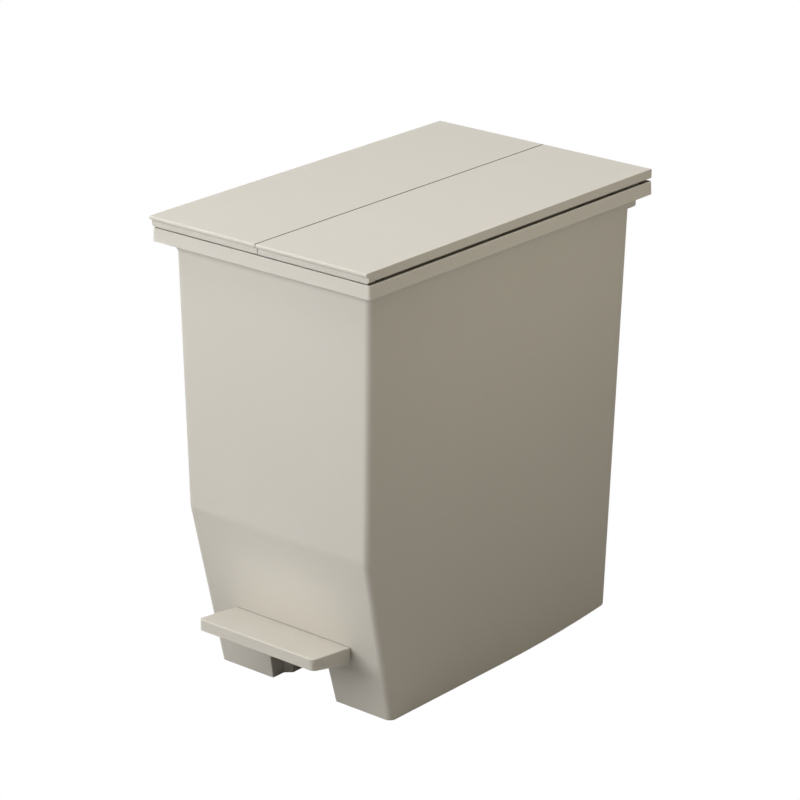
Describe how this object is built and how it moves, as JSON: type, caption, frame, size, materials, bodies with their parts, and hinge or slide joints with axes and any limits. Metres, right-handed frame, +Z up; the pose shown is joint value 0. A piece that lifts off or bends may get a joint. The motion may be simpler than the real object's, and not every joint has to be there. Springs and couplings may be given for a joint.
{
  "type": "pedal bin",
  "caption": "Tapered pedal bin with a flat two-leaf lid opened by a front foot pedal through a lever, push rod and lifting fork; divider and bag ring inside.",
  "frame": {"origin": "on the floor under the middle of the bin's outline", "axes": "+Z up, the pedal and front face -Y, +X to the right as seen from the front"},
  "size_m": [0.2418, 0.391, 0.4203],
  "materials": {
    "greige_plastic": "matte injection moulded polypropylene, light warm grey",
    "dark_plastic": "matte injection moulded polypropylene, dark grey",
    "inner_plastic": "matte injection moulded polypropylene, mid grey",
    "white_acetal": "natural acetal, smooth",
    "steel": "zinc plated steel",
    "soft_rubber": "soft thermoplastic rubber"
  },
  "bodies": {
    "body": {"body_shell": "greige_plastic", "mechanism_cover": "dark_plastic", "rod_bush": "white_acetal", "axle": "steel", "left_keeper": "dark_plastic", "right_keeper": "dark_plastic", "keeper_screw_1": "steel", "keeper_screw_2": "steel", "keeper_screw_3": "steel", "keeper_screw_4": "steel", "left_roller_pin": "steel", "right_roller_pin": "steel", "lid_frame": "greige_plastic", "lid_bumper_1": "soft_rubber", "lid_bumper_2": "soft_rubber", "lid_bumper_3": "soft_rubber", "lid_bumper_4": "soft_rubber", "bag_ring": "inner_plastic", "divider": "inner_plastic"},
    "pedal": {"pedal_lever": "dark_plastic", "pedal_plate": "greige_plastic"},
    "lift": {"push_rod": "steel", "lift_fork": "white_acetal"},
    "left_lid": {"left_leaf": "greige_plastic", "left_hinge_rod": "steel"},
    "right_lid": {"right_leaf": "greige_plastic", "right_hinge_rod": "steel"},
    "left_wheel": {"left_roller": "dark_plastic"},
    "right_wheel": {"right_roller": "dark_plastic"}
  },
  "joints": [
    {"name": "pedal_hinge", "type": "hinge", "parent": "body", "child": "pedal", "pos_m": [0, 0.005, 0.028], "axis": [1, 0, 0], "range_deg": [0, 12]},
    {"name": "lift_slide", "type": "slide", "parent": "body", "child": "lift", "axis": [0, 0, 1], "range_m": [0, 0.033]},
    {"name": "left_lid_hinge", "type": "hinge", "parent": "body", "child": "left_lid", "pos_m": [-0.1145, 0, 0.4158], "axis": [0, -1, 0], "range_deg": [0, 70]},
    {"name": "right_lid_hinge", "type": "hinge", "parent": "body", "child": "right_lid", "pos_m": [0.1145, 0, 0.4158], "axis": [0, 1, 0], "range_deg": [0, 70]},
    {"name": "left_roller_spin", "type": "hinge", "parent": "body", "child": "left_wheel", "pos_m": [-0.08, 0.148, 0.012], "axis": [1, 0, 0], "continuous": true},
    {"name": "right_roller_spin", "type": "hinge", "parent": "body", "child": "right_wheel", "pos_m": [0.08, 0.148, 0.012], "axis": [1, 0, 0], "continuous": true}
  ],
  "couplings": [
    {"joint": "lift_slide", "follows": "pedal_hinge", "m_per_rad": 0.1575},
    {"joint": "left_lid_hinge", "follows": "pedal_hinge", "ratio": 5.8333},
    {"joint": "right_lid_hinge", "follows": "pedal_hinge", "ratio": 5.8333}
  ]
}
